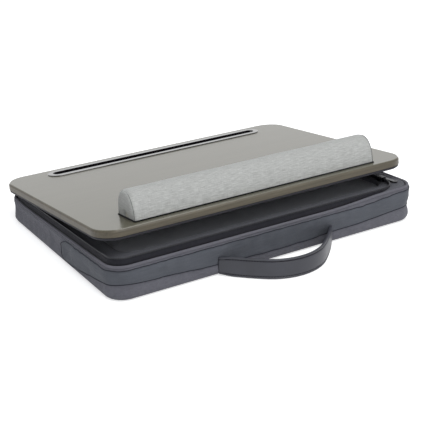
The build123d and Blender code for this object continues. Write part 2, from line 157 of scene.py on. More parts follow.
def ramp(tree, value, stops):
    """Colour ramp through (position, colour) stops."""
    made = tree.nodes.new("ShaderNodeValToRGB")
    band = made.color_ramp
    while len(band.elements) < len(stops):
        band.elements.new(0.5)
    for element, (place, colour) in zip(band.elements, stops):
        element.position = place
        element.color = colour
    tree.links.new(value, made.inputs["Fac"])
    return made.outputs["Color"]


def sums(tree, operation, first, second=0.0):
    """Result of a sum on two values or sockets."""
    made = tree.nodes.new("ShaderNodeMath")
    made.operation = operation
    for socket, value in zip(made.inputs, (first, second)):
        if isinstance(value, (int, float)):
            socket.default_value = value
        else:
            tree.links.new(value, socket)
    return made.outputs["Value"]


def bump(tree, shader, height, distance):
    """Relief of the surface, as deep as the distance."""
    made = tree.nodes.new("ShaderNodeBump")
    made.inputs["Distance"].default_value = distance
    made.inputs["Strength"].default_value = 1.0
    tree.links.new(height, made.inputs["Height"])
    tree.links.new(made.outputs["Normal"], shader.inputs["Normal"])


def weave_height(tree, vector, pitch):
    """Over-and-under threads of a plain weave on two coordinates in metres."""
    parts = tree.nodes.new("ShaderNodeSeparateXYZ")
    tree.links.new(vector, parts.inputs["Vector"])
    warp = sums(tree, "SINE", sums(tree, "MULTIPLY", parts.outputs["X"], 2 * pi / pitch))
    weft = sums(tree, "SINE", sums(tree, "MULTIPLY", parts.outputs["Y"], 2 * pi / pitch))
    return sums(tree, "MULTIPLY", warp, weft)


def tinted(tree, value, colour, spread, low, high):
    """A colour at the middle value, a darker shade at the low one and a lighter shade at the high one."""
    dark, middle, light = [tuple(c * k for c in colour[:3]) + (1.0,) for k in (1 - spread, 1.0, 1 + spread)]
    return ramp(tree, value, [(low, dark), (0.5, middle), (high, light)])


def cloth_material(name, colour, pitch, depth, spread, sheen, roughness=0.85, weft=(0.5, 1.0),
                   warp=(1.0, 0.5), clouds=0.3, source="UV"):
    """Woven cloth: thread pattern, slubs drawn out along both threads and slow changes of shade."""
    tree, shader = new_material(name, colour, roughness, 0.2)
    shader.inputs["Sheen Weight"].default_value = sheen
    shader.inputs["Sheen Roughness"].default_value = 0.4
    flat = coordinates(tree, source, (1, 1, 1))
    slow = noise_value(tree, flat, 28.0, 3.0)
    along = noise_value(tree, coordinates(tree, source, (*weft, 1)), 430.0, 3.0, 0.6)
    across = noise_value(tree, coordinates(tree, source, (*warp, 1)), 520.0, 3.0, 0.6)
    slubs = sums(tree, "ADD", sums(tree, "MULTIPLY", along, 0.7), sums(tree, "MULTIPLY", across, 0.3))
    steady = sums(tree, "MULTIPLY", slubs, 1 - clouds)
    mixed = sums(tree, "ADD", sums(tree, "MULTIPLY", slow, clouds), steady)
    tree.links.new(tinted(tree, mixed, colour, spread, 0.38, 0.62), shader.inputs["Base Color"])
    threads = weave_height(tree, flat, pitch)
    height = sums(tree, "ADD", threads, sums(tree, "MULTIPLY", slubs, 1.2))
    bump(tree, shader, height, depth)


def board_material(name, colour, spread, grain, roughness, specular, coat):
    """Lacquered wood print with long grain along the width."""
    tree, shader = new_material(name, colour, roughness, specular)
    shader.inputs["Coat Weight"].default_value = coat
    shader.inputs["Coat Roughness"].default_value = 0.2
    vector = coordinates(tree, "Object", (0.2, 4.0, 4.0))
    fine = noise_value(tree, vector, grain, 6.0, 0.62)
    broad = noise_value(tree, vector, grain * 0.18, 3.0, 0.5)
    mixed = sums(tree, "ADD", sums(tree, "MULTIPLY", fine, 0.6), sums(tree, "MULTIPLY", broad, 0.4))
    tree.links.new(tinted(tree, mixed, colour, spread, 0.36, 0.66), shader.inputs["Base Color"])
    bump(tree, shader, fine, 0.00005)


def moulded_material(name, colour, roughness, pitch, depth, specular=0.5, coat=0.0):
    """Moulded plastic or skin with a fine grain."""
    tree, shader = new_material(name, colour, roughness, specular)
    shader.inputs["Coat Weight"].default_value = coat
    vector = coordinates(tree, "Object", (1, 1, 1))
    grain = noise_value(tree, vector, 1 / pitch, 3.0)
    slow = noise_value(tree, vector, 40.0, 2.0)
    tree.links.new(tinted(tree, slow, colour, 0.12, 0.3, 0.7), shader.inputs["Base Color"])
    bump(tree, shader, grain, depth)


cloth_material("cushion_fabric", srgb(110, 110, 118), 0.0007, 0.00012, 0.12, 0.15)
cloth_material("facing_fabric", srgb(91, 94, 101), 0.0005, 0.00006, 0.10, 0.1, roughness=0.7,
               weft=(0.12, 1.0))
cloth_material("border_fabric", srgb(94, 95, 101), 0.0005, 0.00006, 0.08, 0.1, roughness=0.75)
cloth_material("piping_light", srgb(110, 109, 117), 0.0005, 0.00008, 0.08, 0.1)
cloth_material("piping_dark", srgb(56, 56, 62), 0.0005, 0.00008, 0.15, 0.1, roughness=0.6)
cloth_material("lining", srgb(158, 160, 166), 0.0006, 0.00008, 0.06, 0.15)
cloth_material("zip_tape", srgb(40, 40, 46), 0.0008, 0.0001, 0.15, 0.1)
moulded_material("zip_teeth", srgb(36, 36, 41), 0.4, 0.0006, 0.00002)
cloth_material("backing", srgb(22, 22, 25), 0.0007, 0.0001, 0.12, 0.1)
cloth_material("linen", srgb(190, 191, 188), 0.0011, 0.00014, 0.19, 0.2, roughness=0.9, weft=(0.22, 2.4),
               warp=(2.4, 0.3), clouds=0.05)
# Dark thread for seams; round the facing its darkness is also painted seam shade.
cloth_material("seam_dark", srgb(52, 53, 60), 0.0006, 0.00005, 0.1, 0.05)
# Seam cord of the rest's ends, darker than the linen as painted shade in the seam.
cloth_material("linen_seam_shade", srgb(132, 134, 131), 0.0006, 0.00005, 0.1, 0.05)
moulded_material("handle_skin", srgb(52, 53, 61), 0.42, 0.0011, 0.00006, coat=0.05)
cloth_material("webbing", srgb(40, 40, 46), 0.0009, 0.0001, 0.1, 0.1, source="Object")
cloth_material("foam", srgb(205, 203, 190), 0.0012, 0.0001, 0.05, 0.0, source="Object")
cloth_material("filling", srgb(225, 225, 220), 0.002, 0.0002, 0.04, 0.0, source="Object")
moulded_material("stiffener", srgb(120, 120, 118), 0.7, 0.001, 0.00004)
moulded_material("slot_black", srgb(24, 24, 26), 0.12, 0.0012, 0.00001, specular=1.0, coat=1.0)
board_material("board_top", srgb(90, 87, 71), 0.06, 60.0, 0.28, 0.5, 0.5)
board_material("board_core", srgb(80, 73, 58), 0.35, 90.0, 0.45, 0.5, 0.0)
# Light tone for the cord along the board's top edge: a painted highlight on the bevel.
board_material("painted_edge_highlight", srgb(120, 115, 101), 0.1, 90.0, 0.4, 0.5, 0.0)
steel_tree, steel_shader = new_material("slider_metal", srgb(70, 71, 75), 0.18)
steel_shader.inputs["Metallic"].default_value = 1.0
steel_grain = noise_value(steel_tree, coordinates(steel_tree, "Object", (1, 1, 1)), 900.0)
bump(steel_tree, steel_shader, steel_grain, 0.00002)


def dress(name, material):
    """Give a carried-over node its finish."""
    data = NODES[name].data
    data.materials.clear()
    data.materials.append(MAT[material])


# Helpers that make and place pieces

def finish_piece(name, bm, material, body, stands_for=(), smooth=True, outward=True):
    if outward:
        bmesh.ops.recalc_face_normals(bm, faces=bm.faces)
    for face in bm.faces:
        face.smooth = smooth
    mesh = bpy.data.meshes.new(name)
    bm.to_mesh(mesh)
    bm.free()
    piece = bpy.data.objects.new(name, mesh)
    bpy.context.collection.objects.link(piece)
    mesh.materials.append(MAT[material])
    if body:
        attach(piece, body)
    if stands_for:
        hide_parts(*stands_for)
    return piece


def soften(piece):
    """Round a piece off with one level of subdivision."""
    made = piece.modifiers.new("smooth", "SUBSURF")
    made.levels = 1
    made.render_levels = 1
    return piece


SWELL_FRAMES = 20
INWARD_CUT = 0.85


def swell(bm, held, pressure, cap, slack=0.0):
    """Blow fabric up with a cloth simulation: held vertices stay, and none goes further than the cap."""
    scene = bpy.context.scene
    bm.verts.index_update()
    mesh = bpy.data.meshes.new("trial")
    bm.to_mesh(mesh)
    trial = bpy.data.objects.new("trial", mesh)
    bpy.context.collection.objects.link(trial)
    trial.vertex_groups.new(name="held").add([vert.index for vert in held], 1.0, "REPLACE")
    cloth = trial.modifiers.new("cloth", "CLOTH")
    cloth.collision_settings.use_collision = False
    cloth.settings.vertex_group_mass = "held"
    cloth.settings.use_pressure = True
    cloth.settings.uniform_pressure_force = pressure
    cloth.settings.shrink_min = -slack
    cloth.settings.bending_stiffness = 0.2
    cloth.settings.effector_weights.gravity = 0.0
    cloth.point_cache.frame_start = 1
    cloth.point_cache.frame_end = SWELL_FRAMES
    for number in range(1, SWELL_FRAMES + 1):
        scene.frame_set(number)
    blown = trial.evaluated_get(bpy.context.evaluated_depsgraph_get())
    result = blown.to_mesh()
    bm.normal_update()
    for vert in bm.verts:
        step = result.vertices[vert.index].co - vert.co
        inward = min(0.0, step.dot(vert.normal))
        step -= vert.normal * (inward * INWARD_CUT)
        if step.length > 1e-7:
            vert.co += step.normalized() * (cap * tanh(step.length / cap))
    blown.to_mesh_clear()
    bpy.data.objects.remove(trial)
    bpy.data.meshes.remove(mesh)
    scene.frame_set(1)


def sheet(columns, rows, place, closed=False):
    """Grid whose vertex in column i and row j goes to place(i, j) -> (point, (u, v)), with UVs in metres.

    A closed sheet has its first column or row joined to its last.
    """
    bm = bmesh.new()
    bmesh.ops.create_grid(bm, x_segments=columns, y_segments=rows, size=0.5)
    uv = bm.loops.layers.uv.new("UVMap")
    spots = {}
    for vert in bm.verts:
        i = round((vert.co.x + 0.5) * columns)
        j = round((vert.co.y + 0.5) * rows)
        spots[vert] = place(i, j)
    for face in bm.faces:
        for loop in face.loops:
            loop[uv].uv = spots[loop.vert][1]
    for vert, (point, _) in spots.items():
        vert.co = point
    if closed:
        bmesh.ops.remove_doubles(bm, verts=bm.verts, dist=1e-6)
    return bm


def fill_holes(bm):
    """Close every open edge loop, and return the new faces."""
    return bmesh.ops.holes_fill(bm, edges=[e for e in bm.edges if e.is_boundary], sides=0)["faces"]


def lay_flat(bm, faces, back=Matrix.Identity(4)):
    """UVs of faces as seen from above, once they are turned back."""
    uv = bm.loops.layers.uv.active
    for face in faces:
        for loop in face.loops:
            loop[uv].uv = (back @ loop.vert.co).xy


def lengths_along(points):
    """Distance along a line from its first point to each of its points."""
    lengths = [0.0]
    for first, second in zip(points, points[1:]):
        lengths.append(lengths[-1] + (Vector(second) - Vector(first)).length)
    return lengths


def across_from(along):
    """Level direction square to another, to its right as seen from above."""
    return Vector((along.y, -along.x, 0))


def ring_stations(front, side, corner):
    """Stations round a rounded rectangle as (segment, share), anticlockwise from the front's middle."""
    counts = [front // 2, corner, side, corner, front, corner, side, corner, front // 2]
    stations = []
    for segment, count in enumerate(counts):
        stations += [(segment, step / count) for step in range(count)]
    return stations + [(8, 1.0)]


def ring_point(station, half_w, half_d, radius, inset=0.0):
    """Point of a rounded rectangle at a station, moved inwards by an inset."""
    segment, share = station
    a = half_w - radius
    b = half_d - radius
    r = radius - inset
    if segment == 0:
        return Vector((a * share, -b - r, 0))
    if segment == 2:
        return Vector((a + r, -b + 2 * b * share, 0))
    if segment == 4:
        return Vector((a - 2 * a * share, b + r, 0))
    if segment == 6:
        return Vector((-a - r, b - 2 * b * share, 0))
    if segment == 8:
        return Vector((-a + a * share, -b - r, 0))
    centre = {1: (a, -b, -90), 3: (a, b, 0), 5: (-a, b, 90), 7: (-a, -b, 180)}[segment]
    angle = radians(centre[2] + 90 * share)
    return Vector((centre[0] + r * cos(angle), centre[1] + r * sin(angle), 0))


def ring_lengths(stations, half_w, half_d, radius):
    """Length along the ring at each station."""
    return lengths_along([ring_point(s, half_w, half_d, radius) for s in stations])


def cord_along(name, points, radius, material, body, stands_for=(), closed=True, sides=10,
               ups=None):
    """Round sewn-in cord through points, as a tube. ups are the outward directions of what it lies on."""
    count = len(points)
    total = lengths_along(points + points[:1])
    columns = count if closed else count - 1

    def place(i, j):
        here = points[i % count]
        ahead = points[(i + 1) % count] if closed or i < count - 1 else here
        behind = points[(i - 1) % count] if closed or i > 0 else here
        along = (ahead - behind).normalized()
        side = along.cross(ups[i % count] if ups else Vector((0, 0, 1))).normalized()
        up = side.cross(along).normalized()
        angle = 2 * pi * j / sides
        spot = here + side * (radius * cos(angle)) + up * (radius * sin(angle))
        return spot, (total[i], radius * angle)

    bm = sheet(columns, sides, place, closed=True)
    if not closed:
        fill_holes(bm)
    return finish_piece(name, bm, material, body, stands_for)


def stitches(name, spots, length, radius, material, body):
    """Row of short raised stitches, each a small faceted bead. Spots are (point, along, outward)."""
    bm = bmesh.new()
    for point, along, outward in spots:
        side = outward.cross(along).normalized()
        turn = Matrix((along, side, outward)).transposed().to_4x4()
        size = Matrix.Diagonal((length / 2, radius, radius, 1))
        placed = Matrix.Translation(point) @ turn @ size
        bmesh.ops.create_icosphere(bm, subdivisions=1, radius=1.0, matrix=placed)
    return finish_piece(name, bm, material, body)


# Cushion wall

def wall_inset(height):
    """How far the wall lies inside the plan at a height, with its rounded foot and drawn-in waist."""
    if height < FOOT:
        share = height / FOOT
        return SEAM_INSET + FOOT * (1 - sqrt(max(0.0, 1 - (1 - share) ** 2)))
    if height < SHOULDER:
        return SEAM_INSET + WAIST_DRAW * sin(pi * (height - FOOT) / (SHOULDER - FOOT)) ** 2
    return SEAM_INSET


def wrinkle(point, strength=1.0):
    """Soft creases of the cover, in metres, positive outwards."""
    slanted = Vector((point.x * 26 + point.z * 30, point.y * 26 - point.z * 34, point.z * 22))
    broad = noise.noise(slanted)
    fine = noise.noise(Vector((point.x * 70, point.y * 70, point.z * 46)) + Vector((3.1, 7.7, 1.3)))
    return strength * (0.0011 * broad + 0.00045 * fine)


WALL = ring_stations(92, 66, 14)
WALL_LENGTH = ring_lengths(WALL, HALF_W, HALF_D, CORNER)
WALL_LOW = 0.0028
WALL_TOP_DROP = 0.0046
WALL_PRESSURE = 4.0
WALL_SWELL = 0.0016
WALL_SLACK = 0.025
STRAP_END = 0.085
FACING_TOP_DROP = 0.0092
FACING_CORNER_RISE = 0.0034
FACING_END = HALF_W - CORNER + CORNER * pi / 2 + 0.1217
FACING_LIFT = 0.0008


def wall_plan(station):
    """Point of the wall's outline in plan, and its outward direction."""
    flat = ring_point(station, HALF_W, HALF_D, CORNER)
    return flat, (flat - ring_point(station, HALF_W, HALF_D, CORNER, 0.01)).normalized()


def on_rim(spot, lift):
    """Point above or below a spot in plan, measured from the rim's plane."""
    return Vector((spot.x, spot.y, rim_height(spot.y) + lift))


def wall_spot(station, height, lift=0.0, creases=1.0):
    """Point on the cushion's wall at a station and height, lifted outwards."""
    flat, outward = wall_plan(station)
    spot = flat - outward * wall_inset(height) + Vector((0, 0, height))
    top = rim_height(flat.y) - sag(flat.x, flat.y) - WALL_TOP_DROP
    fade = smoothstep(0.002, 0.010, height) * smoothstep(0.0, 0.007, top - height)
    return spot + outward * (lift + fade * wrinkle(spot, creases))


def wall_piece():
    """Fabric wall all round, from the foot seam to the piping, swollen between its seams.

    It returns a search tree of the swollen wall, for the pieces that lie on it.
    """
    rows = 14
    tuck = 0.0012

    def high(spot):
        rim = rim_height(spot.y) + raised(spot.x, spot.y) - sag(spot.x, spot.y)
        return rim - WALL_TOP_DROP + tuck

    def place(i, j):
        flat = ring_point(WALL[i], HALF_W, HALF_D, CORNER)
        height = WALL_LOW + (high(flat) - WALL_LOW) * j / rows
        return wall_spot(WALL[i], height), (WALL_LENGTH[i], height)

    bm = sheet(len(WALL) - 1, rows, place, closed=True)
    bmesh.ops.recalc_face_normals(bm, faces=bm.faces)
    held = []
    for vert in bm.verts:
        at_strap = abs(abs(vert.co.x) - STRAP_END) < 0.010 and vert.co.y < -0.15 and vert.co.z < 0.032
        if vert.co.z < WALL_LOW + 0.0030 or vert.co.z > high(vert.co) - 0.0016 or at_strap:
            held.append(vert)
    swell(bm, held, WALL_PRESSURE, WALL_SWELL, WALL_SLACK)
    tree = BVHTree.FromBMesh(bm)
    piece = finish_piece("side_wall_cover", bm, "cushion_fabric", "base", ("side_wall",))
    soften(piece)
    return tree


def bottom_piece():
    """Underside of the cover with its rounded foot."""
    heights = [0.0029, 0.0018, 0.0010, 0.0004, 0.0001]
    insets = [0.0072, 0.030]
    corner = 0.031

    def place(i, j):
        station = WALL[i]
        if j < len(heights):
            return wall_spot(station, heights[j], creases=0.0), (WALL_LENGTH[i], heights[j])
        inset = insets[j - len(heights)]
        flat = ring_point(station, HALF_W, HALF_D, corner, inset)
        return Vector((flat.x, flat.y, 0.0)), (WALL_LENGTH[i], -inset)

    bm = sheet(len(WALL) - 1, len(heights + insets) - 1, place, closed=True)
    inner = [e for e in bm.edges if e.is_boundary and max(v.co.z for v in e.verts) < 0.0005]
    made = bmesh.ops.holes_fill(bm, edges=inner, sides=0)
    lay_flat(bm, made["faces"])
    return finish_piece("bottom_cover", bm, "cushion_fabric", "base", ("bottom_panel",))


def facing_low(s):
    """Height of the facing's lower seam at a distance along the wall from the middle of the front."""
    s = abs(s)
    straight = HALF_W - CORNER
    if s < straight:
        return 0.0130 + 0.0080 * (s / straight) ** 2
    return 0.0210 - 0.0160 * smoothstep(0.0, 1.0, (s - straight) / 0.165)


def station_at(s):
    """Station at a signed distance along the wall from the middle of the front."""
    a = HALF_W - CORNER
    b = HALF_D - CORNER
    bend = CORNER * pi / 2
    d = abs(s)
    if d <= a:
        spot = (0, d / a)
    elif d <= a + bend:
        spot = (1, (d - a) / bend)
    else:
        spot = (2, (d - a - bend) / (2 * b))
    if s >= 0:
        return spot
    return {0: (8, 1 - spot[1]), 1: (7, 1 - spot[1]), 2: (6, 1 - spot[1])}[spot[0]]


def facing_spot(share, across, lift):
    """Point of the facing on the swollen wall, the wall's outward direction, and its run and height.

    The ends are rounded, and more so at their upper corner.
    """
    off = 2 * across - 1
    rounding = 0.019 if off > 0 else 0.010
    run = share * (FACING_END + 0.001 - rounding * abs(off) ** 2.4)
    station = station_at(run)
    flat, outward = wall_plan(station)
    low = facing_low(run)
    drop = FACING_TOP_DROP - FACING_CORNER_RISE * smoothstep(0.13, 0.20, flat.x)
    top = rim_height(flat.y) + raised(flat.x, flat.y) - drop
    height = low + (top - low) * across
    spot = flat + Vector((0, 0, height))
    hit = wall_tree.ray_cast(spot + outward * 0.02, -outward)[0]
    return (hit or spot - outward * wall_inset(height)) + outward * lift, outward, run, height


def facing_piece():
    """Smooth facing round the front and its corners, a little proud, with turned edges."""
    columns, rows = 190, 12

    def place(i, j):
        across = j / rows
        share = 2 * i / columns - 1
        turned = min(1.0, min(across, 1 - across) / 0.1, (1 - abs(share)) / 0.012)
        spot, _, run, height = facing_spot(share, across, 0.0001 + FACING_LIFT * sqrt(max(0.0, turned)))
        return spot, (run, height)

    bm = sheet(columns, rows, place)
    piece = finish_piece("facing_cover", bm, "facing_fabric", "base", ("front_panel",), outward=False)
    return soften(piece)


def facing_seam_shade():
    """Dark cord round the facing's edge: its seam, darkened as painted shade in the gap beside the proud
    facing.
    """
    edge = [(2 * k / 300 - 1, 0.0) for k in range(300)] + [(1.0, k / 16) for k in range(16)]
    edge += [(1 - 2 * k / 300, 1.0) for k in range(300)] + [(-1.0, 1 - k / 16) for k in range(16)]
    spots = [facing_spot(share, across, 0.0003) for share, across in edge]
    line = [spot[0] for spot in spots]
    ups = [spot[1] for spot in spots]
    cord_along("facing_seam_shade", line, 0.0006, "seam_dark", "base", sides=6, ups=ups)


def rim_line(inset, lift):
    """Points parallel to the rim all round."""
    points = []
    for station in WALL[:-1]:
        spot = ring_point(station, HALF_W, HALF_D, CORNER, inset)
        points.append(on_rim(spot, lift + raised(spot.x, spot.y) - sag(spot.x, spot.y)))
    return points


def border_crown(x, y, inset):
    """Extra padding of the border at the right front corner, with a hollow for the pull tab."""
    near = smoothstep(0.185, 0.212, x) * smoothstep(0.04, 0.10, -y)
    crown = 0.0010 * near * sin(pi * smoothstep(0.004, 0.024, inset))
    along = min(1.0, max(0.0, (PIN_Y - y) / PULL_REACH))
    off = hypot(x - (PIN_X + 0.0019 * along), y - (PIN_Y - PULL_REACH * along))
    return crown - (crown + 0.0005) * exp(-(off / 0.005) ** 2)


def border_piece():
    """Padded border inside the piping and its skirt down to the lining."""
    profile = [(0.0040, -0.0024), (0.0046, -0.0010), (0.0062, -0.0002), (0.0100, 0.0002), (0.0150, 0.0003),
               (0.0200, 0.0003), (0.0250, 0.0001), (0.0280, -0.0004), (0.0298, -0.0014), (0.0304, -0.0032),
               (0.0306, -0.0064)]
    length = lengths_along(profile)

    def place(i, j):
        inset, lift = profile[j]
        share = inset / BORDER_IN
        outer = ring_point(WALL[i], HALF_W, HALF_D, CORNER)
        inner = ring_point(WALL[i], HALF_W - BORDER_IN, HALF_D - BORDER_IN, BORDER_CORNER)
        spot = outer.lerp(inner, share)
        lift += 0.0004 * noise.noise(Vector((spot.x * 40, spot.y * 40, 2.0))) * sin(pi * min(1.0, share))
        lift += raised(spot.x, spot.y) * (1 - smoothstep(0.1, 0.6, share))
        lift += border_crown(spot.x, spot.y, inset)
        lift -= sag(spot.x, spot.y) * (1 - smoothstep(0.25, 0.9, share))
        return on_rim(spot, lift), (WALL_LENGTH[i], length[j])

    bm = sheet(len(WALL) - 1, len(profile) - 1, place, closed=True)
    piece = finish_piece("border_cover", bm, "border_fabric", "base", ("top_border",),
                         outward=False)
    return soften(piece)


def lining_piece():
    """Lining on the compartment's floor, lightly puckered."""
    columns, rows, tuck = 80, 54, 0.0006
    half_w = HALF_W - BORDER_IN + tuck
    half_d = HALF_D - BORDER_IN + tuck
    radius = BORDER_CORNER

    def place(i, j):
        x = (i / columns - 0.5) * 2 * half_w
        y = (j / rows - 0.5) * 2 * half_d
        core = Vector((max(-half_w + radius, min(half_w - radius, x)),
                       max(-half_d + radius, min(half_d - radius, y)), 0))
        off = Vector((x, y, 0)) - core
        if off.length > radius:
            off = off.normalized() * radius
        spot = core + off
        pucker = 0.0007 * noise.noise(Vector((x * 22, y * 22, 5.0)))
        pucker += 0.0003 * noise.noise(Vector((x * 70, y * 70, 1)))
        edge = smoothstep(0.0, 0.03, min(half_w - abs(x), half_d - abs(y)))
        return on_rim(spot, pucker * edge - RECESS), (x, y)

    bm = sheet(columns, rows, place)
    return finish_piece("lining_cover", bm, "lining", "base", ("lining_floor",), outward=False)


def filling_piece():
    """Mass of loose beads inside the cover, with rounded edges and a hollow under the compartment."""
    foot = [(0.0300, 0.0022), (0.0090, 0.0024), (0.0040, 0.0080), (0.0034, 0.0160)]
    hang = [(0.0034, -0.0150), (0.0060, -0.0105), (0.0160, -0.0076), (0.0270, -0.0078), (0.0330, -0.0100),
            (0.0420, -0.0104)]

    def place(i, j):
        inset, height = (foot + hang)[j]
        spot = ring_point(WALL[i], HALF_W - inset, HALF_D - inset, max(0.012, CORNER - inset))
        lump = 0.0004 * noise.noise(Vector((spot.x * 60, spot.y * 60, height * 90)))
        if j >= len(foot):
            height += rim_height(spot.y)
        return Vector((spot.x, spot.y, height + lump)), (WALL_LENGTH[i], 0.01 * j)

    bm = sheet(len(WALL) - 1, len(foot + hang) - 1, place, closed=True)
    fill_holes(bm)
    return finish_piece("bead_filling", bm, "filling", "base", ("cushion_filling",))


wall_tree = wall_piece()
filling_piece()
bottom_piece()
facing_piece()
facing_seam_shade()
border_piece()
lining_piece()
cord_along("rim_piping_cord", rim_line(PIPING_IN, -PIPING_R), PIPING_R, "piping_light", "base",
           ("rim_piping",))

# Zip, lower half

def open_path(left, right, front, rear, left_r, right_r, steps):
    """Points down the left side, along the front and up the right side, with two round corners."""
    down, left_turn, level, right_turn, up = steps
    start = left + left_r
    end = right - right_r
    points = [Vector((left, rear + (front + left_r - rear) * k / down, 0)) for k in range(down)]
    for k in range(left_turn):
        angle = pi + pi / 2 * k / left_turn
        points.append(Vector((start + left_r * cos(angle), front + left_r + left_r * sin(angle), 0)))
    points += [Vector((start + (end - start) * k / level, front, 0)) for k in range(level)]
    for k in range(right_turn):
        angle = -pi / 2 + pi / 2 * k / right_turn
        points.append(Vector((end + right_r * cos(angle), front + right_r + right_r * sin(angle), 0)))
    corner = front + right_r
    return points + [Vector((right, corner + (rear - corner) * k / up, 0)) for k in range(up + 1)]


def zip_line(offset):
    """Points along the lower zip, left rear to right rear, moved outwards by an offset."""
    left = -HALF_W + ZIP_INSET - offset
    right = HALF_W - ZIP_RIGHT_INSET + offset
    front = -HALF_D + ZIP_INSET - offset
    rear = HALF_D - ZIP_REAR_MARGIN
    left_r = CORNER - ZIP_INSET + offset
    return open_path(left, right, front, rear, left_r, ZIP_RIGHT_BEND + offset, (120, 16, 160, 32, 100))


def tape_piece():
    """Standing zip tape with a soft wave, as a thin band with two faces."""
    outer, inner = zip_line(TAPE_HALF_T), zip_line(-TAPE_HALF_T)
    shares = [(0, 0.0), (0, 0.3), (0, 0.65), (0, 1.0), (1, 1.0), (1, 0.65), (1, 0.3), (1, 0.0)]
    run = lengths_along(outer)

    def place(i, j):
        side, share = shares[j % len(shares)]
        spot = (outer, inner)[side][i]
        away = (outer[i] - inner[i]).normalized()
        lean = 0.0003 * noise.noise(Vector((spot.x * 60, spot.y * 60, 3.0))) * share
        hang = sag(spot.x, spot.y)
        lean += 0.45 * hang * (1 - share) ** 2
        foot = -0.0006 - hang
        lift = foot + (ZIP_TOP - foot) * share
        spot = spot + away * lean
        return on_rim(spot, lift), (run[i], lift)

    bm = sheet(len(outer) - 1, len(shares), place, closed=True)
    fill_holes(bm)
    return finish_piece("lower_zip_band", bm, "zip_tape", "base", ("lower_zip_tape",))


def resample(points, pitch):
    """Evenly spaced points along a line, with their directions."""
    out = []
    carried = 0.0
    for first, second in zip(points, points[1:]):
        step = (second - first).length
        while carried <= step:
            share = carried / step
            out.append((first.lerp(second, share), (second - first).normalized()))
            carried += pitch
        carried -= step
    return out


TOOTH_PITCH = 0.0021
TOOTH_SIZE = (0.00155, 0.0021, 0.0015)
TOOTH_EDGE = 0.0004
TOOTH_RISE = 0.0008


def teeth_piece(name, line, lift, body, stands_for, on_lid=False):
    """Coil of zip teeth, one small bead for each turn, standing on the rim or hanging from the lid."""
    bm = bmesh.new()
    up = Vector((0, 0, -1 if on_lid else 1))
    size = Matrix.Diagonal((*TOOTH_SIZE, 1))
    for spot, along in resample(line, TOOTH_PITCH):
        turn = Matrix((along, across_from(along), up)).transposed().to_4x4()
        if on_lid:
            placed = LID @ Matrix.Translation(spot + Vector((0, 0, lift - TOOTH_RISE))) @ turn @ size
        else:
            placed = Matrix.Translation(on_rim(spot, lift + TOOTH_RISE)) @ turn @ size
        made = bmesh.ops.create_cube(bm, size=1.0, matrix=placed)
        edges = list({e for v in made["verts"] for e in v.link_edges})
        bmesh.ops.bevel(bm, geom=edges, offset=TOOTH_EDGE, affect="EDGES", segments=1, profile=0.5, material=-1)
    return finish_piece(name, bm, "zip_teeth", body, stands_for, smooth=False)


tape_piece()
teeth_piece("lower_zip_coil", zip_line(0), 0.0036, "base", ("lower_zip_teeth",))

# Lid

def lid_ring(inset, lift):
    """Points round the lid parallel to the board's edge."""
    points = []
    for station in WALL[:-1]:
        spot = ring_point(station, BOARD_W / 2, BOARD_D / 2, BOARD_R, inset)
        points.append(LID @ Vector((spot.x, spot.y - BOARD_D / 2, lift)))
    return points


cord_along("lid_piping_cord", lid_ring(0.0004, -BOARD_T - 0.0018), LID_CORD_R, "piping_dark", "lid",
           ("lid_piping",))
# Light cord along the board's top edge: painted highlight where the bevel catches the light.
cord_along("board_edge_highlight_cord", lid_ring(0.0002, -0.0004), 0.00045, "painted_edge_highlight", "lid",
           sides=6)


def upper_zip_line(offset):
    """Points along the upper zip in the board's own axes."""
    half = BOARD_W / 2 - UPPER_ZIP_INSET + offset
    front = -BOARD_D + UPPER_ZIP_INSET - offset
    radius = BOARD_R - UPPER_ZIP_INSET + offset
    return open_path(-half, half, front, -UPPER_ZIP_REAR, radius, radius, (100, 8, 160, 8, 100))


def upper_tape_piece():
    """Hanging zip tape under the lid, as a thin band with two faces."""
    outer, inner = upper_zip_line(TAPE_HALF_T), upper_zip_line(-TAPE_HALF_T)
    lifts = [(0, -0.0098), (0, -0.0110), (0, -0.0124), (1, -0.0124), (1, -0.0110), (1, -0.0098)]
    run = lengths_along(outer)

    def place(i, j):
        side, lift = lifts[j % len(lifts)]
        spot = (outer, inner)[side][i]
        return LID @ Vector((spot.x, spot.y, lift)), (run[i], lift)

    bm = sheet(len(outer) - 1, len(lifts), place, closed=True)
    fill_holes(bm)
    return finish_piece("upper_zip_band", bm, "zip_tape", "lid", ("upper_zip_tape",))


upper_tape_piece()
teeth_piece("upper_zip_coil", upper_zip_line(0), -0.0118, "lid", ("upper_zip_teeth",), on_lid=True)


def panel_piece(name, inset, radius, top, bottom, crown, stands_for):
    """Soft sheet or pad under the board, with rounded edges and a slight crown downwards."""
    stations = ring_stations(60, 44, 8)
    lengths = ring_lengths(stations, BOARD_W / 2, BOARD_D / 2, BOARD_R)
    thick = top - bottom
    rings = [(0.0006, top), (0.0, top - 0.3 * thick), (0.0, top - 0.7 * thick)]
    rings += [(0.0008, bottom - 0.1 * crown), (0.004, bottom - 0.4 * crown), (0.012, bottom - 0.8 * crown)]
    rings += [(more, bottom - crown) for more in (0.028, 0.060, 0.100)]

    def place(i, j):
        more, lift = rings[j]
        half_w = BOARD_W / 2 - inset - more
        half_d = BOARD_D / 2 - inset - more
        spot = ring_point(stations[i], half_w, half_d, min(radius, half_d * 0.9))
        soft = 0.0004 * noise.noise(Vector((spot.x * 30, spot.y * 30, lift * 90)))
        soft *= smoothstep(0.002, 0.02, more)
        return LID @ Vector((spot.x, spot.y - BOARD_D / 2, lift + soft)), (spot.x, spot.y)

    bm = sheet(len(stations) - 1, len(rings) - 1, place, closed=True)
    lay_flat(bm, fill_holes(bm), LID.inverted())
    return finish_piece(name, bm, "backing", "lid", stands_for)


panel_piece("backing_sheet", BACKING_INSET, BACKING_CORNER, -BOARD_T, -BACKING_LOW, 0.0, ("underside_cover",))
piece = panel_piece("lid_pad_cover", PAD_INSET, PAD_CORNER, -BACKING_LOW, -PAD_LOW, 0.0003,
                    ("lid_pad", "lid_lining"))

# Wrist rest

